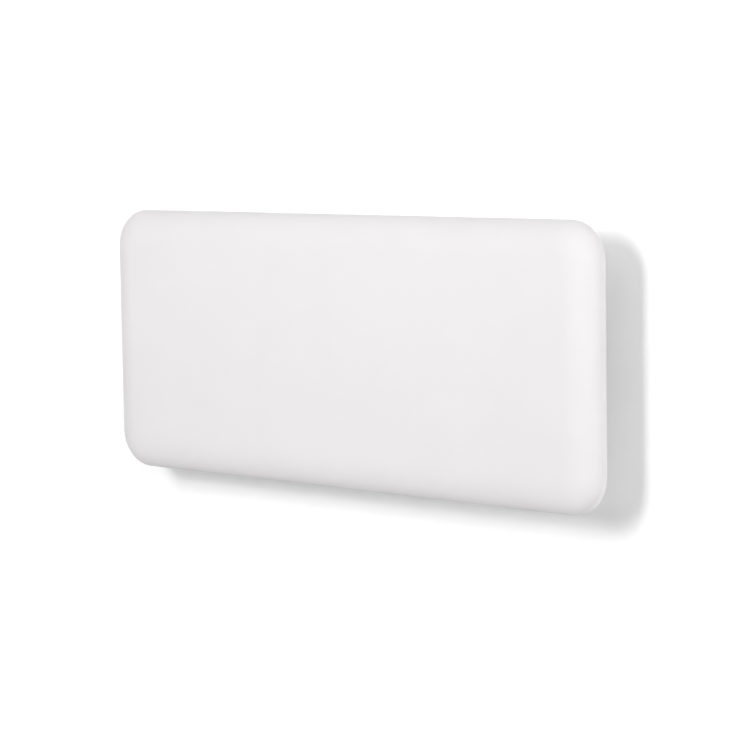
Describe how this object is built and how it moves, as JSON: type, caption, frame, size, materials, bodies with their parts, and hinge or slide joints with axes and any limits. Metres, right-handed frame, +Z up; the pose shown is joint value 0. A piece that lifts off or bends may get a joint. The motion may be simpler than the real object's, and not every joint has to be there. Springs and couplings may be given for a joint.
{
  "type": "panel heater",
  "caption": "Wall-hung electric panel heater: a plain pillow-edged front cover on a slotted rear case that hangs and tilts on a hooked wall bracket, with keys on its hidden side.",
  "frame": {"origin": "centre of the wall bracket's back face, on the wall", "axes": "+X to the right along the heater's width, +Y into the wall, +Z up; the front faces -Y"},
  "size_m": [0.885, 0.085, 0.37],
  "materials": {
    "powder_coat": "satin white powder coat, fine even orange-peel",
    "case_coat": "matte off-white coat",
    "zinc_steel": "zinc-plated sheet",
    "spring_steel": "dark tempered spring steel",
    "aluminium": "mill-finish sheet",
    "sheath_steel": "heat-toned steel tube",
    "ceramic": "unglazed steatite",
    "grey_plastic": "moulded, fine grain",
    "white_plastic": "moulded, fine grain",
    "black_plastic": "moulded, fine grain",
    "smoked_window": "clear smoked pane",
    "board": "solder-masked circuit board",
    "rubber": "matte rubber",
    "brass": "plain brass",
    "lead_red": "glass-braid sleeved lead",
    "lead_blue": "glass-braid sleeved lead",
    "lead_green": "insulated earth lead",
    "lead_grey": "thin sensor lead"
  },
  "bodies": {
    "wall_bracket": {"bracket_crossbar": "zinc_steel", "bracket_upright_left": "zinc_steel", "bracket_upright_right": "zinc_steel", "hook_liner_left": "white_plastic", "hook_liner_right": "white_plastic", "buffer_left": "rubber", "buffer_right": "rubber", "catch_spring_left": "spring_steel", "catch_spring_right": "spring_steel"},
    "heater": {"front_cover": "powder_coat", "rear_case": "case_coat", "cover_screw_1": "zinc_steel", "cover_screw_2": "zinc_steel", "cover_screw_3": "zinc_steel", "cover_screw_4": "zinc_steel", "cover_screw_5": "zinc_steel", "cover_screw_6": "zinc_steel", "front_heat_shield": "zinc_steel", "rear_reflector": "aluminium", "chamber_wall": "zinc_steel", "lead_grommet": "rubber", "thermal_cutout_stand": "aluminium", "thermal_cutout": "black_plastic", "cable_gland": "black_plastic", "gland_nut": "black_plastic", "earth_stud": "brass", "sensor_clip": "grey_plastic", "air_sensor": "black_plastic", "element_sheath": "sheath_steel", "fin_half_front": "aluminium", "fin_half_rear": "aluminium", "element_bush_left": "ceramic", "element_bush_right": "ceramic", "element_terminal_left": "zinc_steel", "element_terminal_right": "zinc_steel", "element_bracket_left": "zinc_steel", "element_bracket_right": "zinc_steel", "control_housing": "grey_plastic", "control_fascia": "white_plastic", "display_window": "smoked_window", "control_board": "board", "power_relay": "black_plastic", "capacitor": "black_plastic", "terminal_block": "grey_plastic", "rocker_frame": "black_plastic", "lead_cutout_feed": "lead_red", "lead_cutout_element": "lead_red", "lead_element_return": "lead_blue", "lead_earth": "lead_green", "lead_sensor": "lead_grey"},
    "button_plus": {"button_plus": "white_plastic"},
    "button_minus": {"button_minus": "white_plastic"},
    "button_mode": {"button_mode": "white_plastic"},
    "button_power": {"button_power": "white_plastic"},
    "mains_rocker": {"mains_rocker": "black_plastic"}
  },
  "joints": [
    {"name": "heater_tilt", "type": "hinge", "parent": "wall_bracket", "child": "heater", "pos_m": [0, -0.0205, -0.118], "axis": [1, 0, 0], "range_deg": [0, 15], "deforming": ["catch_spring_left", "catch_spring_right"]},
    {"name": "button_plus_press", "type": "slide", "parent": "heater", "child": "button_plus", "axis": [-1, 0, 0], "range_m": [0, 0.0008], "stiffness_N_per_m": 300, "springref_m": -0.003},
    {"name": "button_minus_press", "type": "slide", "parent": "heater", "child": "button_minus", "axis": [-1, 0, 0], "range_m": [0, 0.0008], "stiffness_N_per_m": 300, "springref_m": -0.003},
    {"name": "button_mode_press", "type": "slide", "parent": "heater", "child": "button_mode", "axis": [-1, 0, 0], "range_m": [0, 0.0008], "stiffness_N_per_m": 300, "springref_m": -0.003},
    {"name": "button_power_press", "type": "slide", "parent": "heater", "child": "button_power", "axis": [-1, 0, 0], "range_m": [0, 0.0008], "stiffness_N_per_m": 300, "springref_m": -0.003},
    {"name": "mains_rocker_turn", "type": "hinge", "parent": "heater", "child": "mains_rocker", "pos_m": [0.3922, -0.03735, -0.032], "axis": [0, -1, 0], "range_deg": [0, 18]}
  ]
}
